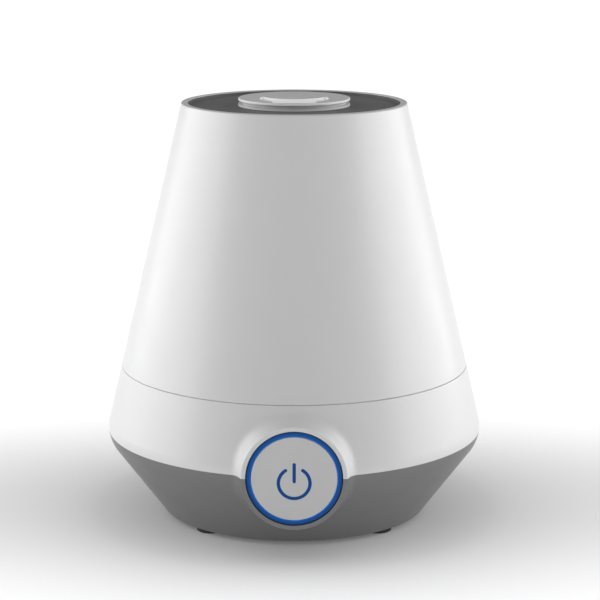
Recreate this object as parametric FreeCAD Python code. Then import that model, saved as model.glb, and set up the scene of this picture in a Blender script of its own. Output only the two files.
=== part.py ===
import FreeCAD, Part
import math
import os

# Tabletop ultrasonic essential oil diffuser. Millimetres, +Z up, origin on the
# floor under the body's axis. The round front button faces -Y.

V = FreeCAD.Vector
UP = V(0, 0, 1)
BACK = V(0, 1, 0)

# ---- driving dimensions -------------------------------------------------------
# Outer body: an inverted cone below the shoulder and a tall tapered cone above.
foot_height = 2.6
split_z = 45.4            # colour change between the two base shells
seam_z = 80.2             # where the tank lifts off the base
crest_z = 219.9           # top of the tank's rim
shoulder_radius = 100.96  # where the two cones would meet if left sharp
shoulder_z = 43.3
shoulder_round = 15.0
lower_slope = 0.7433      # radius gained per mm of height below the shoulder
upper_slope = 0.237       # radius lost per mm of height above it
wall = 3.0
floor_thick = 3.0
seam_gap = 0.16
edge_round = 0.3
base_edge_round = 1.0
tongue_height = 2.0       # step where one base shell locates in the other
tongue_root = 0.5

# Button and its boss; the axis is level, on the split plane.
boss_stand = 0.64         # boss's flat front beyond the sharp shoulder
boss_blend = 7.0          # hollow where the boss runs out into the body
boss_flare_side = 0.4     # how fast the boss widens backwards, per mm of depth
boss_flare_top = 0.33
boss_depth = 30.0
well_skin = 1.8           # wall of the well behind the boss
bore_radius = 24.2
bezel_width = 2.1
lip_width = 1.8           # lip in the bore that the light ring rests on
lip_depth = 8.6
lip_thick = 3.0
well_length = 10.0        # bore behind the lip, for the button's board
ring_gap = 0.35
ring_width = 2.3
button_gap = 0.2
button_thick = 3.0
skirt_inset = 2.65
slide_gap = 0.3
icon_radius = 7.8
icon_stroke = 1.7
icon_drop = 2.2
icon_gap_angle = 33.0
icon_bar = 10.4
icon_depth = 0.3
button_edge_round = 0.4
skirt_wall = 1.4
plunger_radius = 3.0      # post on the button's back that works the switch
guide_wall = 1.8

# Tank top, rim, dark plate and mist nozzle.
rim_inner = 55.6
rim_round = 0.7
rim_lip_round = 0.5
plate_drop = 1.7
plate_thick = 3.2
plate_gap = 0.2
plate_lip = 0.7           # thin upstand that lines the rim
plate_lip_drop = 0.35     # its top below the crest
nozzle_radius = 29.24
nozzle_neck = 27.2
nozzle_flange = 1.0
nozzle_groove = 1.8
nozzle_cap = 1.1
nozzle_stem_gap = 0.6
nozzle_stem_wall = 1.4
nozzle_stem_depth = 18.0
spigot_depth = 13.0
mouth_half = 10.7
mouth_near = 25.6         # front edge of the recess in the cap
mist_hole_near = 24.2     # front edge of the hole under it, inside the neck
mist_hole_far = 21.4
slot_tip_depth = 0.7      # the recess's floor slopes down from the smile's tips
slot_mouth_depth = 1.6    # to the mist hole
slot_splay = 1.5          # how far the recess's slanted walls lean out over its depth
slot_far_radius = 19.0
slot_far_y = 11.5
slot_near_radius = 18.0
slot_near_y = -4.5
channel_height = 0.85

# Tank inside.
chimney_radius = 22.0
chimney_wall = 2.0
tank_floor_rise = 3.8     # tank floor's underside above the seam
tank_floor_thick = 3.0
cap_clear = 24.0          # fill cap's axis from the chimney's wall
neck_inner = 19.0
neck_wall = 2.5
neck_height = 6.0
cap_radius = 23.0
valve_stem_radius = 2.5
valve_seat = 5.5
valve_window = 10.0       # width of the inlets in the fill cap's side
spring_radius = 4.6
spring_wire = 0.35
spring_turns = 4

# Water basin in the base.
basin_clear = 2.0         # basin's wall behind the button's well
basin_wall = 2.5
basin_floor_z = 58.0
basin_floor_thick = 3.0
flange_z = 76.5
flange_thick = 2.5
float_x = 45.0
float_radius = 12.0
float_height = 8.0
float_post = 4.0
post_ring_radius = 62.0   # circle of the four case screws
post_radius = 5.5
case_screw_angles = (25, 155, 205, 335)
screw_radius = 1.75
screw_head = 3.3
screw_head_thick = 2.4
screw_sink = 6.0          # screw heads below the split plane

# Transducer.
window_radius = 8.0
disc_radius = 10.0
disc_thick = 1.2
seal_thick = 1.0

# Fan and its duct.
fan_y = 30.0
fan_size = 40.0
fan_height = 10.0
fan_floor = 8.0
fan_bore = 18.5
fan_hub = 7.5
fan_pin = 1.0
fan_hole_inset = 4.0
fan_post_radius = 2.5
hub_thick = 1.5
tip_gap = 0.8
running_gap = 0.05
blade_count = 7
blade_thick = 1.1
blade_pitch = 32.0
duct_radius = 12.0
duct_wall = 1.5
cone_height = 8.0
collar_wall = 2.0         # collar that keeps the basin's water out of the duct
intake_pitch = 4.0
intake_half_width = 1.0
intake_reach = 15.0
filter_radius = 14.0

# Main circuit board.
board_half = 34.0
board_back = -16.0
board_front = -58.0
board_z = 12.0
board_thick = 1.6
board_inset = 4.0         # fixing holes in from the board's edges
board_post_radius = 3.0

# Aroma drawer in the back of the grey shell.
drawer_half = 22.0
drawer_low = 20.0
drawer_high = 36.0
drawer_gap = 0.4
drawer_inner_y = 56.0
drawer_wall = 1.4
housing_wall = 1.6
pull_half = 8.0

# Power jack, turned off the back towards -X.
jack_turn = 42.0
jack_z = 14.0
jack_boss = 8.0
jack_body = 5.4
jack_hole = 5.6

# Feet.
foot_circle = 61.5
foot_radius = 7.5
foot_pocket = 1.0

# ---- values that follow from them ---------------------------------------------
button_front = shoulder_radius + boss_stand
boss_radius = bore_radius + bezel_width
lip_radius = bore_radius - lip_width
lip_front = button_front - lip_depth
lip_back = lip_front - lip_thick
well_back = lip_back - well_length
light_ring_outer = bore_radius - ring_gap
light_ring_inner = light_ring_outer - ring_width
button_radius = light_ring_inner - button_gap
button_skirt = button_radius - skirt_inset
basin_radius = well_back - basin_clear
nozzle_stem = chimney_radius - chimney_wall - nozzle_stem_gap
cap_x = -chimney_radius - cap_clear
base_z = foot_height
floor_top = base_z + floor_thick
plate_top = crest_z - plate_drop
plate_low = plate_top - plate_thick
tank_roof_low = plate_low - wall
basin_top = basin_floor_z + basin_floor_thick
tank_low = seam_z + seam_gap / 2
shell_top = seam_z - seam_gap / 2
tank_floor_low = seam_z + tank_floor_rise
tank_floor_top = tank_floor_low + tank_floor_thick
flange_top = flange_z + flange_thick
far = 400.0
nodes = {}


# ---- helpers ------------------------------------------------------------------
def disc(radius, z0, z1, x=0.0, y=0.0):
    return Part.makeCylinder(radius, z1 - z0, V(x, y, z0), UP)


def ring(outer, inner, z0, z1, x=0.0, y=0.0):
    hole = disc(inner, z0 - 1, z1 + 1, x, y)
    return disc(outer, z0, z1, x, y).cut(hole)


def block(x0, x1, y0, y1, z0, z1):
    return Part.makeBox(x1 - x0, y1 - y0, z1 - z0, V(x0, y0, z0))


def level(radius, depth_out, depth_in, x=0.0, z=split_z):
    """Cylinder on the button's axis, between two distances in front of the body's axis."""
    return Part.makeCylinder(radius, depth_out - depth_in, V(x, -depth_out, z), BACK)


def level_ring(outer, inner, depth_out, depth_in):
    hole = level(inner, depth_out + 1, depth_in - 1)
    return level(outer, depth_out, depth_in).cut(hole)


def fuse(shapes):
    whole = shapes[0]
    if len(shapes) > 1:
        whole = whole.multiFuse(shapes[1:])
    return whole.removeSplitter()


def cut(shape, tools):
    for tool in tools:
        shape = shape.cut(tool)
    return shape


def slab(z0, z1):
    return disc(far / 2, z0, z1)


def turned(shape, degrees, centre=V(0, 0, 0)):
    copy = shape.copy()
    copy.rotate(centre, UP, degrees)
    return copy


def spun(points):
    """Solid of revolution from a closed outline of (radius, z) corners."""
    corners = [V(r, 0, z) for r, z in points]
    wire = Part.makePolygon(corners + corners[:1])
    return Part.Face(wire).revolve(V(0, 0, 0), UP, 360)


def keep(name, shape):
    solids = shape.Solids
    if len(solids) != 1:
        raise ValueError(name + " has " + str(len(solids)) + " solids")
    nodes[name] = solids[0]


def body_radius(z, inset=0.0):
    """Radius of the upper cone at height z, moved inwards by inset."""
    sharp = shoulder_radius - upper_slope * (z - shoulder_z)
    return sharp - inset * math.hypot(1, upper_slope)


def lower_radius(z, inset=0.0):
    sharp = shoulder_radius + lower_slope * (z - shoulder_z)
    return sharp - inset * math.hypot(1, lower_slope)


def body_core(inset):
    """The whole body's solid of revolution, moved inwards by inset, running past both ends."""
    low_angle = math.atan(lower_slope)
    high_angle = math.atan(upper_slope)
    centre_z = (
        lower_radius(0, shoulder_round) - body_radius(0, shoulder_round)
    ) / (-upper_slope - lower_slope)
    centre_r = body_radius(centre_z, shoulder_round)
    bend = shoulder_round - inset

    def on_arc(angle):
        return V(centre_r + bend * math.cos(angle), 0, centre_z + bend * math.sin(angle))

    start = on_arc(-low_angle)
    middle = on_arc((high_angle - low_angle) / 2)
    end = on_arc(high_angle)
    low_z = base_z - 5
    high_z = crest_z + 5
    low = V(lower_radius(low_z, inset), 0, low_z)
    high = V(body_radius(high_z, inset), 0, high_z)
    edges = [
        Part.makeLine(V(0, 0, low_z), low),
        Part.makeLine(low, start),
        Part.Arc(start, middle, end).toShape(),
        Part.makeLine(end, high),
        Part.makeLine(high, V(0, 0, high_z)),
        Part.makeLine(V(0, 0, high_z), V(0, 0, low_z)),
    ]
    return Part.Face(Part.Wire(edges)).revolve(V(0, 0, 0), UP, 360)


def circles_at(shape, z, radius):
    """Full-circle edges of a shape about the body's axis at one height."""
    found = []
    for edge in shape.Edges:
        box = edge.BoundBox
        flat = abs(box.ZMin - z) < 0.01 and abs(box.ZMax - z) < 0.01
        if flat and abs(box.XMax - radius) < 0.05 and abs(box.XMin + radius) < 0.05:
            found.append(edge)
    return found


outer_core = body_core(0)
inner_core = body_core(wall)


# ---- base shells ----------------------------------------------------------------
def boss_outline(depth):
    """Boss's outline at a depth behind its front: a circle that widens upwards and sideways."""
    half_wide = boss_radius + boss_flare_side * depth
    half_high = boss_radius + boss_flare_top * depth / 2
    centre = V(0, depth - button_front, split_z + half_high - boss_radius)
    curve = Part.Circle(V(0, 0, 0), BACK, 1.0).toBSpline()
    for number, pole in enumerate(curve.getPoles(), 1):
        curve.setPole(number, centre + V(pole.x * half_wide, 0, pole.z * half_high))
    return Part.Wire(curve.toShape())


def boss():
    """Button's boss: straight underneath, flared at its sides and top."""
    return Part.makeLoft([boss_outline(0), boss_outline(boss_depth)], True, True)


def blended_base():
    """Solid base outline with the button's boss blended into it."""
    plain = outer_core.common(slab(base_z, shell_top))
    rim = circles_at(plain, base_z, lower_radius(base_z))
    plain = plain.makeFillet(base_edge_round, rim)
    rim = circles_at(plain, shell_top, body_radius(shell_top))
    plain = plain.makeFillet(edge_round, rim)
    whole_boss = boss()
    bossed = plain.fuse(whole_boss.common(slab(base_z + 1, shell_top - 1)))
    foot = []
    for edge in bossed.Edges:
        ends = edge.discretize(5)
        behind = min(p.y for p in ends) > 0.5 - button_front
        on_boss = all(whole_boss.Shells[0].distToShape(Part.Vertex(p))[0] < 0.01 for p in ends)
        on_body = all(outer_core.Shells[0].distToShape(Part.Vertex(p))[0] < 0.01 for p in ends)
        if behind and on_boss and on_body:
            foot.append(edge)
    bossed = bossed.makeFillet(boss_blend, foot)
    return bossed


def tongue(gap):
    """Half-wall step that locates one base shell in the other."""
    outside = body_core(wall / 2 + gap)
    inside = body_core(wall)
    step = outside.cut(inside).common(slab(split_z - tongue_root, split_z + tongue_height - gap))
    return step.cut(level(boss_radius + 1.5 + gap, button_front + 5, 0))


def intake_slots():
    slots = []
    for row in range(-3, 4):
        x = row * intake_pitch
        half = math.sqrt(intake_reach**2 - x**2)
        low_x = x - intake_half_width
        high_x = x + intake_half_width
        slots.append(block(low_x, high_x, fan_y - half, fan_y + half, base_z - 1, floor_top + 1))
    return slots


def fan_fixings():
    half = fan_size / 2 - fan_hole_inset
    return [(dx, fan_y + dy) for dx in (-half, half) for dy in (-half, half)]


def base_shells():
    solid = blended_base()
    cavity = inner_core.common(slab(floor_top, far))
    shells = solid.cut(cavity)
    well = level(bore_radius + well_skin, button_front - 2, well_back)
    shells = shells.fuse(well)
    shells = cut(
        shells,
        [
            level(bore_radius, button_front + 1, lip_front),
            level(lip_radius, lip_front + 1, lip_back - 1),
            level(bore_radius, lip_back, well_back - 20),
        ],
    )
    lower = shells.common(slab(base_z - 1, split_z))
    upper = shells.common(slab(split_z, far))

    lower = fuse([lower, tongue(0.1).common(slab(split_z - tongue_root, far))])
    upper = upper.cut(tongue(0.0))
    ledge = inner_core.common(slab(flange_z - wall, flange_z))
    ledge = ledge.cut(disc(basin_radius + 1.0, 0, far))
    upper = fuse([upper, ledge])

    # Pillars for the case screws, fan and board stand-offs, drawer stand-offs.
    adds = []
    cuts = []
    for angle in case_screw_angles:
        x = post_ring_radius * math.cos(math.radians(angle))
        y = post_ring_radius * math.sin(math.radians(angle))
        adds.append(disc(post_radius, base_z, split_z, x, y))
        cuts.append(disc(screw_head + 0.4, base_z - 1, split_z - screw_sink, x, y))
        cuts.append(disc(screw_radius + 0.3, 0, split_z + 1, x, y))
    for x, y in fan_fixings():
        adds.append(disc(fan_post_radius, floor_top - 0.5, fan_floor, x, y))
    for x in (-board_half + board_inset, board_half - board_inset):
        for y in (board_front + board_inset, board_back - board_inset):
            adds.append(disc(board_post_radius, floor_top - 0.5, board_z, x, y))
            cuts.append(disc(1.2, floor_top + 1, board_z + 1, x, y))
    for x in (-drawer_half + 5, drawer_half - 5):
        adds.append(disc(2.5, floor_top - 0.5, drawer_low - 2.0, x, drawer_inner_y + 6))
    jack_face = lower_radius(jack_z)
    sleeve = Part.makeCylinder(jack_boss, 14, V(0, jack_face - 14, jack_z), BACK)
    adds.append(turned(sleeve, jack_turn).common(slab(base_z + 0.5, split_z)))
    scoop = Part.makeCylinder(jack_boss - 0.5, 30, V(0, jack_face, jack_z), BACK)
    hole = Part.makeCylinder(jack_hole, 40, V(0, jack_face - 20, jack_z), BACK)
    cuts += [turned(scoop, jack_turn), turned(hole, jack_turn)]
    for angle in (45, 135, 225, 315):
        x = foot_circle * math.cos(math.radians(angle))
        y = foot_circle * math.sin(math.radians(angle))
        cuts.append(disc(foot_radius + 0.1, base_z - 1, base_z + foot_pocket, x, y))
    cuts.append(block(-drawer_half, drawer_half, drawer_inner_y + 8, far / 2, drawer_low, drawer_high))
    lower = fuse([lower] + adds)
    lower = cut(lower, cuts + intake_slots())
    keep("lower_shell", lower)
    keep("upper_shell", upper)


def feet_and_screws():
    for number, angle in enumerate((225, 315, 45, 135), 1):
        x = foot_circle * math.cos(math.radians(angle))
        y = foot_circle * math.sin(math.radians(angle))
        pad = disc(foot_radius, 0, base_z + foot_pocket, x, y)
        low = [e for e in pad.Edges if abs(e.BoundBox.ZMax) < 0.01]
        keep("foot_%d" % number, pad.makeFillet(0.5, low))
    for number, angle in enumerate(case_screw_angles, 1):
        x = post_ring_radius * math.cos(math.radians(angle))
        y = post_ring_radius * math.sin(math.radians(angle))
        head_top = split_z - screw_sink
        head = disc(screw_head, head_top - screw_head_thick, head_top, x, y)
        slot_a = block(x - 2, x + 2, y - 0.5, y + 0.5, head_top - 3, head_top - 1.2)
        slot_b = block(x - 0.5, x + 0.5, y - 2, y + 2, head_top - 3, head_top - 1.2)
        shank = disc(screw_radius, head_top - 0.5, basin_floor_z - 2, x, y)
        keep("case_screw_%d" % number, cut(fuse([head, shank]), [slot_a, slot_b]))


# ---- button group ----------------------------------------------------------------
def button_group():
    front = button_front
    inner = front - button_thick
    face = level(button_radius, front, inner)
    lip = [e for e in face.Edges if abs(e.BoundBox.YMax + front) < 0.01]
    face = face.makeFillet(button_edge_round, lip)
    skirt = level_ring(button_skirt, button_skirt - skirt_wall, inner + 0.5, lip_back + 2.0)
    stem = level(plunger_radius, inner + 0.5, lip_back - 0.3)
    arc_z = split_z - icon_drop
    body = fuse([face, skirt, stem])
    inlays = [
        icon_ring(front + 5, front - icon_depth, arc_z),
        icon_bar_mark(front + 5, front - icon_depth, arc_z),
    ]
    keep("button_cap", cut(body, inlays))
    keep("icon_ring", icon_ring(front, front - icon_depth, arc_z))
    keep("icon_bar", icon_bar_mark(front, front - icon_depth, arc_z))

    ring_body = level_ring(light_ring_outer, light_ring_inner, front - 0.4, lip_front)
    keep("light_ring", ring_body)

    guide_bore = button_skirt + slide_gap
    tube = level_ring(guide_bore + guide_wall, guide_bore, front - 5.1, lip_back - 2.0)
    back = level_ring(bore_radius - 0.2, 8.0, lip_back, lip_back - 2.0)
    keep("button_guide", fuse([tube, back]))

    board_y = well_back + 4.0
    keep("button_board", level(bore_radius - 1.2, board_y, board_y - board_thick))
    body = block(-3, 3, -board_y - 3.5, -board_y, split_z - 3, split_z + 3)
    plunger = level(1.7, board_y + 4.2, board_y + 3.0)
    keep("tact_switch", fuse([body, plunger]))
    spacer = level_ring(bore_radius - 0.4, bore_radius - 2.4, lip_back - 2.0, board_y)
    keep("board_spacer", spacer)


def icon_bar_mark(depth_out, depth_in, arc_z):
    """Upright bar with round ends."""
    half = icon_stroke / 2
    bar = block(-half, half, -depth_out, -depth_in, arc_z + half, arc_z + icon_bar - half)
    ends = [level(half, depth_out, depth_in, 0, arc_z + z) for z in (half, icon_bar - half)]
    return fuse([bar] + ends)


def icon_ring(depth_out, depth_in, arc_z):
    """Ring with round ends, open at the top."""
    half = icon_stroke / 2
    band = level(icon_radius + half, depth_out, depth_in, 0, arc_z)
    band = band.cut(level(icon_radius - half, depth_out + 1, depth_in - 1, 0, arc_z))
    angle = math.radians(icon_gap_angle)
    tip = V(math.sin(angle), 0, math.cos(angle)) * 30
    corners = [V(0, 0, 0), tip, V(0, 0, 60), V(-tip.x, 0, tip.z)]
    corners = [c + V(0, -depth_out - 1, arc_z) for c in corners]
    wedge = Part.Face(Part.makePolygon(corners + corners[:1])).extrude(V(0, depth_out - depth_in + 2, 0))
    pieces = [band.cut(wedge)]
    for side in (-1, 1):
        x = side * icon_radius * math.sin(angle)
        z = arc_z + icon_radius * math.cos(angle)
        pieces.append(level(half, depth_out, depth_in, x, z))
    return fuse(pieces)


# ---- water basin and what is in it -------------------------------------------------
def basin_group():
    flange_radius = body_radius(flange_top, wall) - 0.3
    tray = spun(
        [
            (0, basin_floor_z),
            (basin_radius, basin_floor_z),
            (basin_radius, flange_z),
            (flange_radius, flange_z),
            (flange_radius, flange_top),
            (basin_radius - basin_wall, flange_top),
            (basin_radius - basin_wall, basin_top),
            (0, basin_top),
        ]
    )
    adds = [disc(16, basin_floor_z - 4, basin_floor_z + 0.5)]
    cuts = [
        disc(window_radius, basin_floor_z - 1, basin_top + 1),
        disc(disc_radius + 1.4, basin_floor_z - 5, basin_floor_z - 1),
    ]
    for angle in case_screw_angles:
        x = post_ring_radius * math.cos(math.radians(angle))
        y = post_ring_radius * math.sin(math.radians(angle))
        adds.append(disc(post_radius, split_z, basin_floor_z + 0.5, x, y))
        cuts.append(disc(screw_radius + 0.05, 0, basin_floor_z - 1, x, y))
    cuts.append(disc(duct_radius - duct_wall, 0, far, 0, fan_y))
    adds.append(disc(float_post, basin_top - 0.5, flange_z - 2, float_x, 0))
    adds.append(disc(valve_stem_radius + 1.5, basin_top - 0.5, basin_top + 8, cap_x, 0))
    keep("water_basin", cut(fuse([tray] + adds), cuts))
    collar_bore = duct_radius - duct_wall
    keep("air_collar", ring(duct_radius + collar_wall, collar_bore, basin_top, flange_z, 0, fan_y))

    disc_top = basin_floor_z - 1 - seal_thick
    keep("transducer_seal", ring(disc_radius + 1.3, window_radius, disc_top, basin_floor_z - 1))
    keep("transducer_disc", disc(disc_radius, disc_top - disc_thick, disc_top))
    plate = ring(16, 5, basin_floor_z - 6, basin_floor_z - 4)
    collar = ring(disc_radius, window_radius, basin_floor_z - 4.5, disc_top - disc_thick)
    keep("transducer_retainer", fuse([plate, collar]))

    low = basin_top + 0.2
    core = ring(float_radius, float_post + slide_gap, low, low + float_height, float_x, 0)
    groove = ring(float_radius - 2.0, float_post + 2.0, low, low + 3.0, float_x, 0)
    keep("float_ring", core.cut(groove))
    keep("float_magnet", ring(float_radius - 2.0, float_post + 2.0, low, low + 3.0, float_x, 0))
    clip_low = flange_z - 2
    keep("float_clip", disc(float_post + 2.0, clip_low, clip_low + 1.5, float_x, 0))

    gasket_outer = basin_radius + 6.0
    keep("tank_gasket", ring(gasket_outer, basin_radius, flange_top, seam_z + 0.3))


# ---- fan, duct and circuit board ----------------------------------------------------
def fan_group():
    half = fan_size / 2
    top = fan_floor + fan_height
    frame = block(-half, half, fan_y - half, fan_y + half, fan_floor, top)
    frame = frame.cut(disc(fan_bore, fan_floor - 1, top + 1, 0, fan_y))
    hub_top = fan_floor + hub_thick
    hub = disc(fan_hub, fan_floor, hub_top, 0, fan_y)
    spokes = []
    for number in range(3):
        bar = block(0, fan_bore + 0.5, fan_y - 1.2, fan_y + 1.2, fan_floor, hub_top)
        spokes.append(turned(bar, 120 * number + 30, V(0, fan_y, 0)))
    pin = disc(fan_pin, fan_floor, top - 1.5, 0, fan_y)
    frame = fuse([frame, hub, pin] + spokes)
    frame = cut(frame, [disc(1.6, 0, far, x, y) for x, y in fan_fixings()])
    keep("fan_frame", frame)

    low = fan_floor + 2.0
    rotor = [disc(fan_hub, low, top - 1.0, 0, fan_y)]
    reach = fan_bore - tip_gap
    for number in range(blade_count):
        blade = block(fan_hub - 1.0, reach, fan_y, fan_y + blade_thick, low, top - 2.0)
        blade.rotate(V(0, fan_y, (low + top - 2.0) / 2), V(1, 0, 0), blade_pitch)
        blade = blade.common(disc(reach, low, top - 1.0, 0, fan_y))
        rotor.append(turned(blade, 360.0 * number / blade_count, V(0, fan_y, 0)))
    rotor = fuse(rotor).cut(disc(fan_pin + running_gap, 0, top - 1.3, 0, fan_y))
    keep("fan_impeller", rotor)

    plate = block(-half, half, fan_y - half, fan_y + half, top, top + 2)
    cone_base = V(0, fan_y, top + 2)
    cone_top = cone_base.z + cone_height
    cone = Part.makeCone(fan_bore, duct_radius, cone_height, cone_base, UP)
    tube = disc(duct_radius, cone_top, basin_floor_z, 0, fan_y)
    inside = [
        disc(fan_bore - duct_wall, top - 1, cone_base.z, 0, fan_y),
        Part.makeCone(fan_bore - duct_wall, duct_radius - duct_wall, cone_height, cone_base, UP),
        disc(duct_radius - duct_wall, cone_top, far, 0, fan_y),
    ]
    keep("air_duct", cut(fuse([plate, cone, tube]), inside))
    keep("intake_filter", disc(filter_radius, floor_top, fan_floor - 0.1, 0, fan_y))


def board_group():
    top = board_z + board_thick
    board = block(-board_half, board_half, board_front, board_back, board_z, top)
    holes = []
    number = 0
    for x in (-board_half + board_inset, board_half - board_inset):
        for y in (board_front + board_inset, board_back - board_inset):
            holes.append(disc(1.4, 0, far, x, y))
            number += 1
            head = disc(2.6, top, top + 1.8, x, y)
            shank = disc(1.15, floor_top + 1.5, top + 0.5, x, y)
            cross = block(x - 1.6, x + 1.6, y - 0.35, y + 0.35, top + 0.9, top + 3)
            keep("board_screw_%d" % number, fuse([head, shank]).cut(cross))
    keep("main_board", cut(board, holes))
    centre_y = (board_front + board_back) / 2
    base = block(-24, -10, centre_y - 9, centre_y + 9, top, top + 2)
    fins = []
    for row in range(5):
        y = centre_y - 9 + row * 4.25
        fins.append(block(-24, -10, y, y + 1.0, top + 1, top + 12))
    keep("heat_sink", fuse([base] + fins))
    keep("driver_coil", ring(6, 2.2, top, top + 9, 3, centre_y + 8))
    keep("capacitor", disc(4, top, top + 14, 19, centre_y + 8))
    keep("control_chip", block(2, 14, centre_y - 14, centre_y - 4, top, top + 1.6))


# ---- aroma drawer and power jack -----------------------------------------------------
def drawer_group():
    gap = drawer_gap
    wide = drawer_half - gap
    front_box = block(-wide, wide, drawer_inner_y, far / 2, drawer_low + gap, drawer_high - gap)
    front = outer_core.cut(inner_core).common(front_box)
    half = drawer_half - 2.0
    low = drawer_low + 1.0
    high = drawer_high - 2.5
    tray = block(-half, half, drawer_inner_y, far / 2, low, high).common(body_core(wall / 2))
    pocket_half = half - drawer_wall
    pocket_y = drawer_inner_y + drawer_wall
    pocket = block(-pocket_half, pocket_half, pocket_y, far / 2, low + drawer_wall, high + 1)
    pocket = pocket.common(body_core(wall + 1.0))
    middle = (drawer_low + drawer_high) / 2
    pull = block(-pull_half, pull_half, drawer_inner_y, far / 2, middle - 1.2, middle + 1.2)
    pull = pull.common(body_core(-2.2)).cut(body_core(wall / 2))
    keep("aroma_drawer", fuse([front, tray.cut(pocket), pull]))
    depth = lower_radius(low, wall) - 3.5
    pad_half = pocket_half - 0.5
    pad = block(-pad_half, pad_half, pocket_y + 0.5, depth, low + drawer_wall + 0.05, low + 6.0)
    keep("aroma_pad", pad.common(body_core(wall + 1.5)))

    wide = drawer_half + housing_wall
    outside = block(-wide, wide, drawer_inner_y - 2, far / 2, drawer_low - 2, drawer_high + 2)
    inside = block(-drawer_half, drawer_half, drawer_inner_y - 0.5, far / 2, drawer_low, drawer_high)
    vent = block(-10, 10, drawer_inner_y - 5, drawer_inner_y + 1, drawer_low + 4, drawer_high - 4)
    housing = outside.cut(inside).cut(vent).common(body_core(wall + 0.1))
    keep("drawer_housing", housing)


def jack_group():
    face = lower_radius(jack_z)
    barrel = Part.makeCylinder(jack_body, 20, V(0, face - 21, jack_z), BACK)
    flange = Part.makeCylinder(jack_boss - 1.0, 2.0, V(0, face - 16.2, jack_z), BACK)
    socket = Part.makeCylinder(2.9, 12, V(0, face - 12, jack_z), BACK)
    pin = Part.makeCylinder(1.0, 11, V(0, face - 13, jack_z), BACK)
    jack = fuse([barrel, flange]).cut(socket)
    keep("power_jack", turned(jack, jack_turn))
    keep("jack_pin", turned(pin.cut(jack), jack_turn))


# ---- tank ----------------------------------------------------------------------------
def tank_group():
    shell = outer_core.common(slab(tank_low, crest_z))
    shell = shell.cut(disc(rim_inner, plate_low, far))
    rim = circles_at(shell, crest_z, body_radius(crest_z))
    shell = shell.makeFillet(rim_round, rim)
    shell = shell.makeFillet(rim_lip_round, circles_at(shell, crest_z, rim_inner))
    shell = shell.makeFillet(edge_round, circles_at(shell, tank_low, body_radius(tank_low)))
    shell = shell.cut(inner_core.common(slab(0, tank_roof_low)))
    shell = shell.cut(disc(chimney_radius + 0.1, 0, far))
    keep("tank_shell", shell)

    plate_edge = rim_inner - plate_gap
    plate = ring(plate_edge, nozzle_stem + 0.8, plate_low, plate_top)
    lip = ring(plate_edge, plate_edge - plate_lip, plate_top - 0.5, crest_z - plate_lip_drop)
    keep("top_plate", fuse([plate, lip]))
    keep("chimney_tube", ring(chimney_radius, chimney_radius - chimney_wall, tank_floor_low - 2, plate_low))

    floor = body_core(wall + 0.05).common(slab(tank_floor_low, tank_floor_top))
    foot = ring(basin_radius + 6.0, basin_radius, seam_z + 0.3, tank_floor_low + 0.5)
    neck = disc(neck_inner + neck_wall, tank_floor_low, tank_floor_top + neck_height, cap_x, 0)
    neck_top = tank_floor_top + neck_height
    cuts = [
        disc(chimney_radius + 0.1, 0, far),
        disc(neck_inner, 0, far, cap_x, 0),
    ]
    for side in (90, 270):
        notch = block(cap_x, cap_x + neck_inner + 1.8, -4.5, 4.5, tank_floor_low - 1, neck_top + 1)
        cuts.append(turned(notch, side, V(cap_x, 0, 0)))
    keep("tank_floor", cut(fuse([floor, foot, neck]), cuts))
    keep("chimney_seal", ring(chimney_radius + 2, chimney_radius, tank_floor_top, tank_floor_top + 3))


def cap_group():
    neck_top = tank_floor_top + neck_height
    under = tank_floor_low - 0.8
    plug_radius = neck_inner - 0.4
    plate = disc(cap_radius, under - 2.0, under, cap_x, 0)
    plug = disc(plug_radius, under - 2.0, neck_top + 2.2, cap_x, 0)
    hollow = disc(plug_radius - 2.0, under + 1.0, neck_top + 0.7, cap_x, 0)
    grip = block(cap_x - 15, cap_x + 15, -2, 2, under - 7.0, under - 1.5)
    grip = grip.cut(disc(7.5, 0, far, cap_x, 0))
    lugs = []
    for side in (0, 180):
        lug = block(cap_x, cap_x + neck_inner + 1.5, -4, 4, neck_top + 0.2, neck_top + 2.2)
        lugs.append(turned(lug, side, V(cap_x, 0, 0)))
    body = fuse([plate, plug, grip] + lugs)
    windows = []
    for number in range(4):
        half = valve_window / 2
        window = block(cap_x, cap_x + plug_radius + 0.5, -half, half, under + 1.0, neck_top + 0.2)
        windows.append(turned(window, 45 + 90 * number, V(cap_x, 0, 0)))
    roof_holes = []
    for number in range(4):
        angle = math.radians(90 * number + 45)
        x = cap_x + 11.5 * math.cos(angle)
        roof_holes.append(disc(3.0, neck_top, far, x, 11.5 * math.sin(angle)))
    guide = disc(valve_stem_radius + slide_gap, neck_top, far, cap_x, 0)
    seat = disc(valve_seat, 0, under + 2, cap_x, 0)
    keep("fill_cap", cut(body, [hollow, guide, seat] + windows + roof_holes))
    keep("cap_seal", ring(cap_radius - 0.5, neck_inner + 0.5, under, tank_floor_low, cap_x, 0))

    seal_low = under + 1.0
    seal_top = seal_low + 1.5
    seal = ring(valve_seat + 2.0, valve_stem_radius, seal_low, seal_top, cap_x, 0)
    keep("valve_seal", seal)
    stem = disc(valve_stem_radius, basin_top + 9.0, neck_top + 4.2, cap_x, 0)
    collar = disc(valve_seat + 1.5, seal_top, seal_top + 1.2, cap_x, 0)
    keep("valve_stem", fuse([stem, collar]))
    spring_low = seal_top + 1.2
    spring_top = neck_top + 0.7
    rise = spring_top - spring_low - 2 * spring_wire
    helix = Part.makeHelix(rise / spring_turns, rise, spring_radius)
    section = Part.Wire(Part.makeCircle(spring_wire, V(spring_radius, 0, 0), BACK))
    coil = Part.Wire(helix).makePipeShell([section], True, True)
    coil.translate(V(cap_x, 0, spring_low + spring_wire))
    keep("valve_spring", coil)


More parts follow.
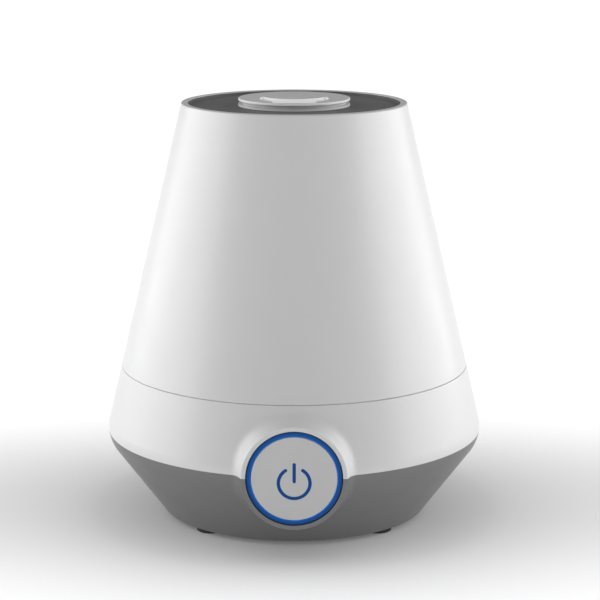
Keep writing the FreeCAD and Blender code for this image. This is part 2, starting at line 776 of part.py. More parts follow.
# ---- mist nozzle -----------------------------------------------------------------------
def leaning(radius_low, radius_high, top, y):
    """Cone frustum from the recess's deepest level up to the cap's face."""
    depth = slot_mouth_depth + 0.1
    return Part.makeCone(radius_low, radius_high, depth, V(0, y, top - depth), UP)


def smile_recess(top):
    """Crescent with a slanted far wall, and a mouth with slanted sides in front of it."""
    smile = leaning(slot_near_radius - slot_splay / 2, slot_near_radius, top, slot_near_y)
    hump = leaning(slot_far_radius + slot_splay / 2, slot_far_radius - slot_splay / 2, top, slot_far_y)
    low = top - slot_mouth_depth - 0.1
    inner = mouth_half - slot_splay / 2
    outer = mouth_half + slot_splay / 2
    corners = [V(-inner, 0, low), V(inner, 0, low), V(outer, 0, top), V(-outer, 0, top)]
    front_face = Part.Face(Part.makePolygon(corners + corners[:1]))
    front_face.translate(V(0, -mist_hole_near, 0))
    front = front_face.extrude(V(0, mist_hole_near - mist_hole_far + 4, 0))
    lip = block(-mouth_half, mouth_half, -mouth_near, -mist_hole_near, top - nozzle_cap, top)
    return fuse([smile, front, lip]).cut(hump)


def sloped_space(top):
    """Everything above the recess's sloping floor."""
    tip_y = 2.3
    fall = (slot_mouth_depth - slot_tip_depth) / (tip_y + mist_hole_far)

    def floor_z(y):
        return top - slot_tip_depth - fall * (tip_y - y)

    reach = 40.0
    corners = [
        V(-reach, reach, floor_z(reach)),
        V(-reach, -reach, floor_z(-reach)),
        V(-reach, -reach, top + 5),
        V(-reach, reach, top + 5),
    ]
    return Part.Face(Part.makePolygon(corners + corners[:1])).extrude(V(2 * reach, 0, 0))


def nozzle_group():
    flange_low = plate_top
    flange_high = plate_top + nozzle_flange
    stem_inner = nozzle_stem - nozzle_stem_wall
    flange = ring(nozzle_radius, stem_inner, flange_low, flange_high)
    stem = ring(nozzle_stem, stem_inner, flange_low - nozzle_stem_depth, flange_low + 0.5)
    keep("nozzle_ring", fuse([flange, stem]))

    low = flange_high + running_gap
    groove_top = flange_high + nozzle_groove
    top = groove_top + nozzle_cap
    neck = disc(nozzle_neck, low, groove_top)
    head = disc(nozzle_radius, groove_top, top)
    edge = [e for e in head.Edges if abs(e.BoundBox.ZMin - top) < 0.01]
    head = head.makeFillet(0.35, edge)
    spigot = disc(stem_inner - 0.4, low - spigot_depth, low + 0.5)
    body = fuse([neck, head, spigot])
    bore = disc(stem_inner - 1.8, 0, low + channel_height)
    channel = block(-mouth_half, mouth_half, -mist_hole_near, 0, low, low + channel_height)
    mouth = block(-mouth_half, mouth_half, -mist_hole_near, -mist_hole_far, low, far)
    recess = smile_recess(top).common(sloped_space(top))
    keep("nozzle_disc", cut(body, [bore, channel, mouth, recess]))


# ---- build and write ---------------------------------------------------------------------
base_shells()
feet_and_screws()
button_group()
basin_group()
fan_group()
board_group()
drawer_group()
jack_group()
tank_group()
cap_group()
nozzle_group()

os.makedirs("parts", exist_ok=True)
for name in sorted(nodes):
    nodes[name].exportStep("parts/" + name + ".step")
print(len(nodes), "nodes written")
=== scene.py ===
import bpy, bmesh, math
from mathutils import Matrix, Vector


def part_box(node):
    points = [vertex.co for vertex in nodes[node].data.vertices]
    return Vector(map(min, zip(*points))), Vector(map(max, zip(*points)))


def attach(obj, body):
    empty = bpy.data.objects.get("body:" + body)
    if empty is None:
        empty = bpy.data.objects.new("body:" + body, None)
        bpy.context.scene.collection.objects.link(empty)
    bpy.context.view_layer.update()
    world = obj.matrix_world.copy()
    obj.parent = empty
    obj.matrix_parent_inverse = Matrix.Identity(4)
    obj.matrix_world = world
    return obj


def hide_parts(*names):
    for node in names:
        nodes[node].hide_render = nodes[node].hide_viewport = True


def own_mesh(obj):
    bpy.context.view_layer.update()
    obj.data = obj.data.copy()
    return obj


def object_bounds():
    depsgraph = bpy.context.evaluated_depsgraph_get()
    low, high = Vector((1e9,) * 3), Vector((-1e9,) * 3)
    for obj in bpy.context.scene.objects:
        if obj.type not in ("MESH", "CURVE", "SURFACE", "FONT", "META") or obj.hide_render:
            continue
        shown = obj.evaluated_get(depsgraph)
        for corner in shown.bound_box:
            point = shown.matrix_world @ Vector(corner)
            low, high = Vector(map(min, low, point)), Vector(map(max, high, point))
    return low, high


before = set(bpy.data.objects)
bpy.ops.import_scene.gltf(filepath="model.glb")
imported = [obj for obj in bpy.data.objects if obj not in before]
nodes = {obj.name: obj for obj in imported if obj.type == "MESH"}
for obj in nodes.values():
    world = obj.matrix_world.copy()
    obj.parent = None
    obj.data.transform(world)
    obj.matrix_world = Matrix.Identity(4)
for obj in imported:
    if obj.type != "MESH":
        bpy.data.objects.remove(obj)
cad_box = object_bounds()

# ---- sizes taken from the frame (metres) ----------------------------------------
ring_low, ring_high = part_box("light_ring")
split_z = (ring_low[2] + ring_high[2]) / 2
ring_outer = (ring_high[0] - ring_low[0]) / 2
floor_z = cad_box[0][2]
cap_low, cap_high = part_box("nozzle_disc")
cap_top = cap_high[2]
cap_radius = (cap_high[0] - cap_low[0]) / 2

# ---- camera -----------------------------------------------------------------------
CAMERA_DISTANCE = 1.06345
CAMERA_RISE = 0.2971          # above the split plane
CAMERA_PITCH = 12.14          # degrees below level
CAMERA_LENS = 122.19
CAMERA_SHIFT = 0.0097
CAMERA_SENSOR = 36
CAMERA_REACH = 100

# ---- light and floor --------------------------------------------------------------
FLOOR_COLOUR = (0.86, 0.86, 0.865)
FLOOR_RADIUS = 14
FLOOR_ROUGHNESS = 0.75
FLOOR_LIGHT = 2.97            # wide overhead light that only the floor receives
FLOOR_LIGHT_SPREAD = 150      # degrees, so that the object's shadow is a soft pool
POOL_SHADE = 0.62             # painted shadow: the floor's colour is a little darker round the object
POOL_INNER = 0.085
POOL_OUTER = 0.255
POOL_BEHIND = 0.02
POOL_WIDE = 0.66              # scales that make the pool wide and shallow
POOL_DEEP = 1.5
PAINTED_GLOW = 0.11                   # painted light: the floor glows faintly under the object
PAINTED_GLOW_INNER = 0.072
PAINTED_GLOW_OUTER = 0.105
ZENITH = 0.45                 # brightness of the room overhead
HORIZON = 0.02
SIDE_AIM = (0, 0, 0.10)
SIDE_POWER = 15.5
SIDE_ANGLE = 98               # degrees from the front; the side boxes stand a little behind the object
SIDE_DISTANCE = 1.1
SIDE_RISE = 0.30
SIDE_SIZE = (1.5, 1.1)
LOW_POWER = 1.5               # low fill that only the grey shell and the feet receive
LOW_PLACE = (0, -0.75, 0.02)
LOW_AIM = (0, 0, 0)
LOW_SIZE = (1.2, 0.08)
FRONT_POWER = 2.0
FRONT_PLACE = (0, -1.7, 0.75)
FRONT_AIM = (0, 0, 0.12)
FRONT_SIZE = (1.7, 0.8)


# ---- node helpers -----------------------------------------------------------------
MIX_FIRST = 6                 # the Mix node's colour sockets, which share their names with others
MIX_SECOND = 7
MIX_RESULT = 2


class Graph:
    """A material's node tree with short ways to add and join nodes."""

    def __init__(self, name):
        self.material = bpy.data.materials.new(name)
        self.material.use_nodes = True
        self.tree = self.material.node_tree
        self.shader = self.tree.nodes["Principled BSDF"]
        self.place = self.add("ShaderNodeTexCoord").outputs["Object"]

    def add(self, kind, **values):
        node = self.tree.nodes.new(kind)
        for key, value in values.items():
            setattr(node, key, value)
        return node

    def join(self, output, target):
        self.tree.links.new(output, target)

    def feed(self, output, socket):
        """Joins an output to one of the shader's own sockets."""
        self.join(output, self.shader.inputs[socket])

    def set(self, **values):
        for key, value in values.items():
            self.shader.inputs[key.replace("_", " ")].default_value = value

    def mapped(self, **values):
        """Object coordinates, scaled, turned and then moved."""
        node = self.add("ShaderNodeMapping")
        for key, value in values.items():
            node.inputs[key].default_value = value
        self.join(self.place, node.inputs["Vector"])
        return node.outputs["Vector"]

    def split(self):
        """The object coordinates one by one."""
        node = self.add("ShaderNodeSeparateXYZ")
        self.join(self.place, node.inputs["Vector"])
        return node.outputs

    def length(self, vector):
        node = self.add("ShaderNodeVectorMath", operation="LENGTH")
        self.join(vector, node.inputs[0])
        return node.outputs["Value"]

    def cells(self, scale):
        """Distance to the nearest of many scattered points."""
        node = self.add("ShaderNodeTexVoronoi", feature="F1")
        node.inputs["Scale"].default_value = scale
        self.join(self.place, node.inputs["Vector"])
        return node.outputs["Distance"]

    def mix(self, factor, first, second):
        """Colour that goes from an output to a fixed colour."""
        node = self.add("ShaderNodeMix", data_type="RGBA")
        self.join(factor, node.inputs["Factor"])
        self.join(first, node.inputs[MIX_FIRST])
        node.inputs[MIX_SECOND].default_value = (*second, 1)
        return node.outputs[MIX_RESULT]

    def noise(self, scale, detail=3.0, rough=0.5, place=None):
        node = self.add("ShaderNodeTexNoise")
        node.inputs["Scale"].default_value = scale
        node.inputs["Detail"].default_value = detail
        node.inputs["Roughness"].default_value = rough
        self.join(place or self.place, node.inputs["Vector"])
        return node.outputs["Fac"]

    def ramp(self, value, stops):
        node = self.add("ShaderNodeValToRGB")
        points = node.color_ramp.elements
        while len(points) < len(stops):
            points.new(0.5)
        for point, (at, colour) in zip(points, stops):
            point.position = at
            point.color = (*colour, 1.0)
        self.join(value, node.inputs["Fac"])
        return node.outputs["Color"]

    def spread(self, value, low, high, start=0.3, end=0.7):
        node = self.add("ShaderNodeMapRange")
        node.inputs["From Min"].default_value = start
        node.inputs["From Max"].default_value = end
        node.inputs["To Min"].default_value = low
        node.inputs["To Max"].default_value = high
        self.join(value, node.inputs["Value"])
        return node.outputs["Result"]

    def sum(self, kind, first, second):
        node = self.add("ShaderNodeMath", operation=kind)
        for socket, value in zip(node.inputs, (first, second)):
            if isinstance(value, (int, float)):
                socket.default_value = value
            else:
                self.join(value, socket)
        return node.outputs["Value"]

    def bump(self, height, distance, strength=1.0, under=None):
        node = self.add("ShaderNodeBump")
        node.inputs["Strength"].default_value = strength
        node.inputs["Distance"].default_value = distance
        self.join(height, node.inputs["Height"])
        if under is not None:
            self.join(under, node.inputs["Normal"])
        self.feed(node.outputs["Normal"], "Normal")
        return node.outputs["Normal"]


def shade(colour, factor):
    return tuple(min(1.0, c * factor) for c in colour)


DRIFT_SHARE = 0.7             # of the colour's variation, the rest is speckle
SPECKLE_FINENESS = 45


def tinted(graph, colour, amount, scale):
    """Base colour that drifts a little over the surface, with fine speckle in it."""
    drift = graph.noise(scale, 4.0, 0.55)
    speckle = graph.noise(scale * SPECKLE_FINENESS, 2.0, 0.6)
    drift_part = graph.sum("MULTIPLY", drift, DRIFT_SHARE)
    speckle_part = graph.sum("MULTIPLY", speckle, 1 - DRIFT_SHARE)
    stops = [(0.3, shade(colour, 1 - amount)), (0.7, shade(colour, 1 + amount))]
    graph.feed(graph.ramp(graph.sum("ADD", drift_part, speckle_part), stops), "Base Color")


# ---- materials --------------------------------------------------------------------
def moulded_graph(name, colour, rough=0.3, grain=0.00001, tint=0.015):
    """Moulded plastic: slight colour drift, mould grain and the faint waviness of a thick wall."""
    graph = Graph(name)
    tinted(graph, colour, tint, 22)
    patches = graph.noise(60, 5.0, 0.6)
    graph.feed(graph.spread(patches, rough * 0.88, rough * 1.14), "Roughness")
    wave = graph.bump(graph.noise(14, 1.0), distance=0.00003, strength=0.5)
    graph.bump(graph.noise(2600, 2.0), distance=grain, strength=0.6, under=wave)
    graph.set(IOR=1.5)
    return graph


def moulded(*values):
    return moulded_graph(*values).material


def spark_textured(name, colour, rough=0.55):
    """Fine spark-eroded matt plastic."""
    graph = Graph(name)
    tinted(graph, colour, 0.08, 35)
    pits = graph.bump(graph.cells(1500), distance=0.00005, strength=0.5)
    graph.feed(graph.spread(graph.noise(120), rough * 0.9, rough * 1.1), "Roughness")
    graph.bump(graph.noise(3500, 3.0), distance=0.00003, strength=0.5, under=pits)
    return graph.material


def radial(graph):
    """Distance from the button's level axis, as a share of the ring's outer radius."""
    flat = graph.mapped(Scale=(1, 0, 1), Location=(0, 0, -split_z))
    return graph.sum("DIVIDE", graph.length(flat), ring_outer)


def lit_ring(name):
    """Translucent blue ring lit from inside: brighter at its inner edge, navy at its outer edge."""
    graph = Graph(name)
    colours = [
        (0.905, (0.004, 0.11, 0.52)),
        (0.93, (0.002, 0.062, 0.25)),
        (0.975, (0.0015, 0.050, 0.19)),
        (1.0, (0.002, 0.012, 0.06)),
    ]
    glow = graph.ramp(radial(graph), colours)
    graph.feed(glow, "Base Color")
    graph.feed(glow, "Emission Color")
    graph.set(Emission_Strength=0.35, Specular_IOR_Level=0.15)
    graph.feed(graph.spread(graph.noise(400), 0.28, 0.36), "Roughness")
    graph.bump(graph.noise(1800, 2.0), distance=0.00001, strength=0.5)
    return graph.material


SPIN_LINES = 700.0            # radians of ripple between the axis and the ring's edge
SPIN_SHARE = 0.3


def button_face(name, colour):
    """Satin silver paint with very fine circular spin lines."""
    graph = Graph(name)
    tinted(graph, colour, 0.015, 40)
    rings = graph.sum("SINE", graph.sum("MULTIPLY", radial(graph), SPIN_LINES), 0.0)
    mixed = graph.sum("ADD", graph.sum("MULTIPLY", rings, SPIN_SHARE), graph.noise(900, 2.0, 0.6))
    graph.bump(mixed, distance=0.000008, strength=0.5)
    graph.feed(graph.spread(graph.noise(300), 0.36, 0.44), "Roughness")
    graph.set(Metallic=0.25)
    return graph.material


def printed(name, colour):
    """Thin translucent ink that the button's lamp shines through a little."""
    graph = Graph(name)
    tinted(graph, colour, 0.06, 200)
    graph.feed(graph.spread(graph.noise(700), 0.3, 0.4), "Roughness")
    graph.feed(graph.shader.inputs["Base Color"].links[0].from_socket, "Emission Color")
    graph.set(Emission_Strength=0.2, Specular_IOR_Level=0.12)
    graph.bump(graph.noise(3000), distance=0.00001, strength=0.4)
    return graph.material


def rubber(name, colour, rough=0.7):
    graph = Graph(name)
    tinted(graph, colour, 0.2, 90)
    graph.feed(graph.spread(graph.noise(250, 5.0), rough * 0.9, rough * 1.15), "Roughness")
    soft = graph.bump(graph.noise(60), distance=0.0001, strength=0.3)
    graph.bump(graph.noise(2200, 4.0), distance=0.00004, strength=0.6, under=soft)
    graph.set(Specular_IOR_Level=0.35)
    return graph.material


def silicone(name, colour):
    graph = Graph(name)
    tinted(graph, colour, 0.05, 60)
    graph.feed(graph.spread(graph.noise(200), 0.38, 0.5), "Roughness")
    graph.set(Subsurface_Weight=0.35, Subsurface_Scale=0.002, IOR=1.41)
    graph.bump(graph.noise(1500, 3.0), distance=0.00002, strength=0.5)
    return graph.material


def metal(name, colour, rough=0.3, stretch=(1.0, 1.0, 14.0)):
    """Machined metal with fine tool lines along one direction and faint tarnish."""
    graph = Graph(name)
    tinted(graph, colour, 0.08, 120)
    lines = graph.noise(900, 4.0, 0.6, graph.mapped(Scale=stretch))
    graph.feed(graph.spread(lines, rough * 0.75, rough * 1.3), "Roughness")
    graph.bump(lines, distance=0.00002, strength=0.5)
    graph.set(Metallic=1.0)
    return graph.material


SOLDER_MASK = (0.018, 0.17, 0.06, 1)
SOLDER_MASK_WORN = (0.022, 0.20, 0.075, 1)
TRACK_GAP = (0.01, 0.09, 0.035, 1)
TINNED_PAD = (0.62, 0.60, 0.55)


def circuit_board(name):
    """Green solder mask with darker gaps between copper tracks and small tinned pads."""
    graph = Graph(name)
    tracks = graph.add("ShaderNodeTexBrick", offset=0.5, squash=1.6)
    tracks.inputs["Scale"].default_value = 260
    tracks.inputs["Mortar Size"].default_value = 0.035
    tracks.inputs["Color1"].default_value = SOLDER_MASK
    tracks.inputs["Color2"].default_value = SOLDER_MASK_WORN
    tracks.inputs["Mortar"].default_value = TRACK_GAP
    graph.join(graph.place, tracks.inputs["Vector"])
    pads = graph.spread(graph.cells(330), 1.0, 0.0, 0.13, 0.16)
    graph.feed(graph.mix(pads, tracks.outputs["Color"], TINNED_PAD), "Base Color")
    graph.feed(graph.spread(pads, 0.35, 0.25, 0, 1), "Roughness")
    relief = graph.bump(tracks.outputs["Fac"], distance=0.00004, strength=0.6)
    graph.bump(pads, distance=0.00008, strength=0.6, under=relief)
    return graph.material


def foam(name, colour):
    """Open pores with painted shade in their depths and painted light on the ridges between them."""
    graph = Graph(name)
    pores = graph.cells(900)
    stops = [(0.1, shade(colour, 0.25)), (0.45, colour), (0.8, shade(colour, 1.5))]
    graph.feed(graph.ramp(pores, stops), "Base Color")
    graph.set(Roughness=0.95, Sheen_Weight=0.15, Sheen_Roughness=0.5)
    graph.bump(pores, distance=0.0004, strength=0.9)
    return graph.material


def felt(name, colour):
    """Pressed fibres running every way, with small tufts."""
    graph = Graph(name)
    tinted(graph, colour, 0.08, 150)
    along = graph.mapped(Scale=(1.0, 6.0, 2.0), Rotation=(0.3, 0.5, 0.9))
    fibres = graph.noise(1300, 5.0, 0.7, along)
    tufts = graph.noise(1700, 5.0, 0.7)
    graph.set(Roughness=0.95, Sheen_Weight=0.3, Sheen_Roughness=0.45)
    graph.bump(graph.sum("ADD", fibres, tufts), distance=0.00025, strength=0.8)
    return graph.material


DISC_RADIUS = 0.01
SILVER_START = 0.74           # shares of the radius between which the silver gives way to bare ceramic
SILVER_END = 0.76


def piezo(name):
    """Glazed ceramic with a silvered centre that shows the silk-screen's grain."""
    graph = Graph(name)
    share = graph.sum("DIVIDE", graph.length(graph.mapped(Scale=(1, 1, 0))), DISC_RADIUS)
    stops = [
        (0.0, (0.60, 0.60, 0.60)),
        (SILVER_START, (0.66, 0.66, 0.66)),
        (SILVER_END, (0.80, 0.76, 0.66)),
    ]
    graph.feed(graph.ramp(share, stops), "Base Color")
    graph.feed(graph.spread(share, 0.9, 0.0, SILVER_START, SILVER_END), "Metallic")
    graph.feed(graph.spread(graph.noise(900, 4.0), 0.2, 0.4), "Roughness")
    graph.bump(graph.noise(2500, 3.0), distance=0.00001, strength=0.6)
    return graph.material


# The cap's mist recess and rim get painted light: a whiter colour and a faint glow.
RECESS_REACH = 0.0268         # the recess lies nearer the axis than this
RECESS_TOP = 0.00012          # depths under the cap's top face
RECESS_FLOOR = 0.0019
RECESS_PAINTED_LIGHT = 0.11
EDGE_WIDTH = 0.0004
EDGE_DEPTH = 0.00105
EDGE_HIGHLIGHT_SHARE = 0.75             # of the recess's painted light, given to the cap's edge as a painted highlight
PAINTED_LIGHT_COLOUR = (0.92, 0.92, 0.92)


def nozzle_cap(name, colour):
    """Satin cap with painted light in its mist recess and a painted highlight round its rim, as a
    whiter colour and a faint glow.
    """
    graph = moulded_graph(name, colour, 0.34)
    height = graph.split()["Z"]
    reach = graph.length(graph.mapped(Scale=(1, 1, 0)))
    below = graph.sum("LESS_THAN", height, cap_top - RECESS_TOP)
    above = graph.sum("GREATER_THAN", height, cap_top - RECESS_FLOOR)
    inside = graph.sum("LESS_THAN", reach, RECESS_REACH)
    recess = graph.sum("MULTIPLY", graph.sum("MULTIPLY", below, above), inside)
    outside = graph.sum("GREATER_THAN", reach, cap_radius - EDGE_WIDTH)
    edge = graph.sum("MULTIPLY", outside, graph.sum("GREATER_THAN", height, cap_top - EDGE_DEPTH))
    # painted light in the recess and a painted highlight round the rim
    painted_light = graph.sum("ADD", recess, graph.sum("MULTIPLY", edge, EDGE_HIGHLIGHT_SHARE))
    plain = graph.shader.inputs["Base Color"].links[0].from_socket
    graph.feed(graph.mix(painted_light, plain, PAINTED_LIGHT_COLOUR), "Base Color")
    graph.feed(graph.ramp(painted_light, [(0.0, (0.0, 0.0, 0.0)), (1.0, (1.0, 1.0, 1.0))]), "Emission Color")
    graph.set(Emission_Strength=RECESS_PAINTED_LIGHT)
    return graph.material


WHITE = (0.66, 0.66, 0.66)
GREY = (0.138, 0.138, 0.139)
looks = {
    "white_shell": moulded("white_shell", WHITE, 0.36),
    "grey_shell": moulded("grey_shell", GREY, 0.34),
    "nozzle": moulded("nozzle", (0.78, 0.78, 0.78), 0.34),
    "nozzle_cap": nozzle_cap("nozzle_cap", (0.68, 0.68, 0.68)),
    "plate": spark_textured("plate", (0.128, 0.128, 0.130)),
    "button": button_face("button", (0.54, 0.54, 0.54)),
    "icon": printed("icon", (0.002, 0.052, 0.22)),
    "ring": lit_ring("ring"),
    "inner": moulded("inner", (0.62, 0.62, 0.63), 0.45, 0.00003, 0.03),
    "milky": moulded("milky", (0.70, 0.72, 0.74), 0.32, 0.00002, 0.02),
    "drawer": moulded("drawer", GREY, 0.34),
    "black": spark_textured("black", (0.022, 0.022, 0.024), 0.45),
    "rubber": rubber("rubber", (0.022, 0.022, 0.023)),
    "silicone": silicone("silicone", (0.70, 0.70, 0.68)),
    "steel": metal("steel", (0.58, 0.57, 0.55)),
    "wire": metal("wire", (0.50, 0.50, 0.50), 0.25, (6.0, 6.0, 1.0)),
    "aluminium": metal("aluminium", (0.74, 0.75, 0.76), 0.35, (1.0, 12.0, 1.0)),
    "brass": metal("brass", (0.80, 0.60, 0.28), 0.22, (8.0, 1.0, 1.0)),
    "board": circuit_board("board"),
    "foam": foam("foam", (0.07, 0.07, 0.075)),
    "felt": felt("felt", (0.80, 0.77, 0.70)),
    "piezo": piezo("piezo"),
}
wearing = {
    "white_shell": ["upper_shell", "tank_shell"],
    "grey_shell": ["lower_shell"],
    "drawer": ["aroma_drawer"],
    "nozzle": ["nozzle_ring"],
    "nozzle_cap": ["nozzle_disc"],
    "plate": ["top_plate"],
    "button": ["button_cap"],
    "icon": ["icon_ring", "icon_bar"],
    "ring": ["light_ring"],
    "inner": [
        "water_basin", "transducer_retainer", "float_ring", "float_clip", "air_duct", "fill_cap",
        "valve_stem", "button_guide", "board_spacer", "drawer_housing",
    ],
    "milky": ["tank_floor", "chimney_tube"],
    "black": [
        "fan_frame", "fan_impeller", "driver_coil", "control_chip", "tact_switch", "power_jack",
        "float_magnet",
    ],
    "rubber": ["foot_1", "foot_2", "foot_3", "foot_4"],
    "silicone": ["tank_gasket", "chimney_seal", "cap_seal", "valve_seal", "transducer_seal"],
    "steel": [kind + "_screw_%d" % n for kind in ("case", "board") for n in (1, 2, 3, 4)],
    "wire": ["valve_spring"],
    "aluminium": ["heat_sink", "capacitor"],
    "brass": ["jack_pin"],
    "board": ["main_board", "button_board"],
    "foam": ["intake_filter"],
    "felt": ["aroma_pad"],
    "piezo": ["transducer_disc"],
}


def dress(part, material):
    part.data.materials.clear()
    part.data.materials.append(material)


for look, names in wearing.items():
    for name in names:
        dress(nodes[name], looks[look])


# ---- soft pieces ------------------------------------------------------------------
def new_object(name, mesh_builder):
    mesh = bpy.data.meshes.new(name)
    work = bmesh.new()
    mesh_builder(work)
    work.to_mesh(mesh)
    work.free()
    made = bpy.data.objects.new(name, mesh)
    bpy.context.scene.collection.objects.link(made)
    return made


def new_piece(name, mesh_builder, material, levels):
    piece = new_object(name, mesh_builder)
    mesh = piece.data
    mesh.materials.append(material)
    for face in mesh.polygons:
        face.use_smooth = True
    smooth = piece.modifiers.new("smooth", "SUBSURF")
    smooth.levels = levels
    smooth.render_levels = levels
    return piece


def crowned_pad(low, high, rise, columns, rows):
    """Closed pad with soft edges whose top and bottom bulge a little between its corners."""

    def build(work):
        grids = []
        middle = [(a + b) / 2 for a, b in zip(low, high)]
        half = [(b - a) / 2 for a, b in zip(low, high)]
        for side in (1, -1):
            grid = []
            for i in range(columns + 1):
                line = []
                for j in range(rows + 1):
                    u, v = 2 * i / columns - 1, 2 * j / rows - 1
                    crown = (1 - u**4) * (1 - v**4)
                    x = middle[0] + u * half[0]
                    y = middle[1] + v * half[1]
                    z = middle[2] + side * (half[2] - rise + rise * crown)
                    line.append(work.verts.new((x, y, z)))
                grid.append(line)
            grids.append(grid)
        top, bottom = grids
        for i in range(columns):
            for j in range(rows):
                work.faces.new((top[i][j], top[i + 1][j], top[i + 1][j + 1], top[i][j + 1]))
                work.faces.new((bottom[i][j], bottom[i][j + 1], bottom[i + 1][j + 1], bottom[i + 1][j]))
        edge = [(i, 0) for i in range(columns)] + [(columns, j) for j in range(rows)]
        edge += [(i, rows) for i in range(columns, 0, -1)] + [(0, j) for j in range(rows, 0, -1)]
        for (a, b), (c, d) in zip(edge, edge[1:] + edge[:1]):
            work.faces.new((top[a][b], bottom[a][b], bottom[c][d], top[c][d]))
        bmesh.ops.recalc_face_normals(work, faces=work.faces)

    return build


CORNER_STEPS = 3


def soft_disc(low, high, rise, corner, rings, steps):
    """Closed round foam disc with soft corners and faces that swell a little in the middle."""

    def build(work):
        centre_x, centre_y = (low[0] + high[0]) / 2, (low[1] + high[1]) / 2
        radius = (high[0] - low[0]) / 2
        middle, half = (low[2] + high[2]) / 2, (high[2] - low[2]) / 2
        outline = []
        for i in range(rings):
            share = i / (rings - 1)
            reach = share * (radius - corner)
            outline.append((reach, half - rise * share**2))
        for i in range(1, CORNER_STEPS + 1):
            angle = math.pi / 2 * i / CORNER_STEPS
            reach = radius - corner + corner * math.sin(angle)
            outline.append((reach, half - rise - corner * (1 - math.cos(angle))))
        outline += [(reach, -z) for reach, z in reversed(outline)]
        loops = []
        for reach, z in outline:
            if reach == 0:
                loops.append([work.verts.new((centre_x, centre_y, middle + z))] * steps)
                continue
            loop = []
            for j in range(steps):
                angle = 2 * math.pi * j / steps
                x = centre_x + reach * math.cos(angle)
                y = centre_y + reach * math.sin(angle)
                loop.append(work.verts.new((x, y, middle + z)))
            loops.append(loop)
        for first, second in zip(loops, loops[1:]):
            for j in range(steps):
                k = (j + 1) % steps
                corners = []
                for vert in (first[j], first[k], second[k], second[j]):
                    if vert not in corners:
                        corners.append(vert)
                work.faces.new(corners)
        bmesh.ops.recalc_face_normals(work, faces=work.faces)

    return build


PAD_CROWN = 0.0006
FOAM_CROWN = 0.0002
FOAM_CORNER = 0.0006

low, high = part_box("aroma_pad")
pad_shape = crowned_pad(low, high, PAD_CROWN, columns=24, rows=12)
pad = new_piece("felt_pad", pad_shape, looks["felt"], levels=1)
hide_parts("aroma_pad")
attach(pad, "drawer")

low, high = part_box("intake_filter")
sponge_shape = soft_disc(low, high, FOAM_CROWN, FOAM_CORNER, rings=8, steps=48)
sponge = new_piece("foam_filter", sponge_shape, looks["foam"], levels=1)
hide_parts("intake_filter")
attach(sponge, "base")

# ---- valve spring: a copy of the CAD coil, carried with the cap ----------------------
low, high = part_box("valve_spring")
coil = bpy.data.objects.new("valve_coil", nodes["valve_spring"].data.copy())
bpy.context.scene.collection.objects.link(coil)
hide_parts("valve_spring")
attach(coil, "cap")
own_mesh(coil)


# ---- floor, light and camera --------------------------------------------------------
def floor_disc(work):
    bmesh.ops.create_circle(work, cap_ends=True, segments=96, radius=FLOOR_RADIUS)


def floor():
    """Pale floor with a painted shadow pool round the object and a faint painted glow under it."""
    ground = new_object("floor", floor_disc)
    ground.location.z = floor_z
    graph = Graph("floor")
    reach = graph.length(graph.mapped(Location=(0, -POOL_BEHIND, 0), Scale=(POOL_WIDE, POOL_DEEP, 1)))
    # painted shadow: the floor's colour darkens towards the object
    stops = [
        (POOL_INNER, shade(FLOOR_COLOUR, POOL_SHADE)),
        ((POOL_INNER + POOL_OUTER) / 2, shade(FLOOR_COLOUR, (1 + POOL_SHADE) / 2)),
        (POOL_OUTER, FLOOR_COLOUR),
    ]
    colour = graph.ramp(reach, stops)
    colour.node.color_ramp.interpolation = "B_SPLINE"
    graph.feed(colour, "Base Color")
    # painted light: emission that brightens the floor under the object
    under = [(PAINTED_GLOW_INNER, (1.0, 1.0, 1.0)), (PAINTED_GLOW_OUTER, (0.0, 0.0, 0.0))]
    graph.feed(graph.ramp(graph.length(graph.place), under), "Emission Color")
    graph.set(Roughness=FLOOR_ROUGHNESS, Emission_Strength=PAINTED_GLOW)
    dress(ground, graph.material)
    return ground


def new_lamp(light, parts, state):
    """A light that reaches only these parts (state INCLUDE), or all but these (state EXCLUDE)."""
    lamp = bpy.data.objects.new(light.name, light)
    bpy.context.scene.collection.objects.link(lamp)
    reached = bpy.data.collections.new(light.name + "_reach")
    for part in parts:
        reached.objects.link(part)
    for entry in reached.collection_objects:
        entry.light_linking.link_state = state
    lamp.light_linking.receiver_collection = reached
    return lamp


def softbox(name, place, aim, size, power, parts, state):
    light = bpy.data.lights.new(name, "AREA")
    light.shape = "RECTANGLE"
    light.size, light.size_y = size
    light.energy = power
    lamp = new_lamp(light, parts, state)
    lamp.location = place
    lamp.rotation_euler = (Vector(aim) - Vector(place)).to_track_quat("-Z", "Y").to_euler()


def floor_light(ground):
    """Soft light from above that keeps the floor white; the object only shades it."""
    light = bpy.data.lights.new("floor_light", "SUN")
    light.energy = FLOOR_LIGHT
    light.angle = math.radians(FLOOR_LIGHT_SPREAD)
    new_lamp(light, [ground], "INCLUDE")


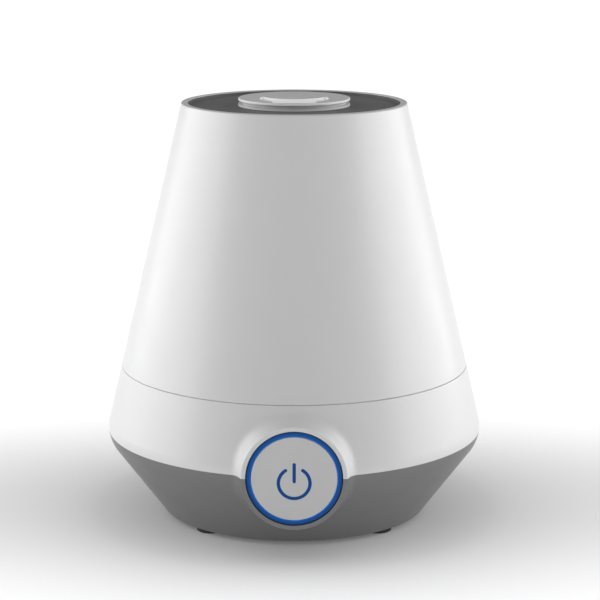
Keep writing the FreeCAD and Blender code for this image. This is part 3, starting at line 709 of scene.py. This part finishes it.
def world_light():
    """White behind the object; for light and reflections, a room that is brighter overhead."""
    world = bpy.data.worlds.new("studio")
    bpy.context.scene.world = world
    world.use_nodes = True
    tree = world.node_tree
    room = tree.nodes["Background"]
    direction = tree.nodes.new("ShaderNodeTexCoord")
    split = tree.nodes.new("ShaderNodeSeparateXYZ")
    fade = tree.nodes.new("ShaderNodeMapRange")
    fade.inputs["To Min"].default_value = HORIZON
    fade.inputs["To Max"].default_value = ZENITH
    tree.links.new(direction.outputs["Generated"], split.inputs["Vector"])
    tree.links.new(split.outputs["Z"], fade.inputs["Value"])
    tree.links.new(fade.outputs["Result"], room.inputs["Strength"])
    room.inputs["Color"].default_value = (1, 1, 1, 1)
    sky = tree.nodes.new("ShaderNodeBackground")
    sky.inputs["Color"].default_value = (1, 1, 1, 1)
    sky.inputs["Strength"].default_value = 1.0
    path = tree.nodes.new("ShaderNodeLightPath")
    mix = tree.nodes.new("ShaderNodeMixShader")
    tree.links.new(path.outputs["Is Camera Ray"], mix.inputs["Fac"])
    tree.links.new(room.outputs["Background"], mix.inputs[1])
    tree.links.new(sky.outputs["Background"], mix.inputs[2])
    tree.links.new(mix.outputs["Shader"], tree.nodes["World Output"].inputs["Surface"])


def camera():
    lens = bpy.data.cameras.new("camera")
    lens.lens = CAMERA_LENS
    lens.sensor_width = CAMERA_SENSOR
    lens.shift_x = CAMERA_SHIFT
    lens.clip_end = CAMERA_REACH
    eye = bpy.data.objects.new("camera", lens)
    eye.location = (0, -CAMERA_DISTANCE, split_z + CAMERA_RISE)
    eye.rotation_euler = (math.radians(90 - CAMERA_PITCH), 0, 0)
    bpy.context.scene.collection.objects.link(eye)
    bpy.context.scene.camera = eye


ground = floor()
floor_light(ground)
world_light()
for name, side in (("left_box", -1), ("right_box", 1)):
    turn = math.radians(SIDE_ANGLE)
    place = (side * SIDE_DISTANCE * math.sin(turn), -SIDE_DISTANCE * math.cos(turn), SIDE_RISE)
    softbox(name, place, SIDE_AIM, SIDE_SIZE, SIDE_POWER, [ground], "EXCLUDE")
low_parts = [nodes[name] for name in ["lower_shell"] + wearing["rubber"]]
softbox("low_fill", LOW_PLACE, LOW_AIM, LOW_SIZE, LOW_POWER, low_parts, "INCLUDE")
softbox("front_box", FRONT_PLACE, FRONT_AIM, FRONT_SIZE, FRONT_POWER, [ground], "EXCLUDE")
camera()
bpy.context.scene.view_settings.view_transform = "Standard"
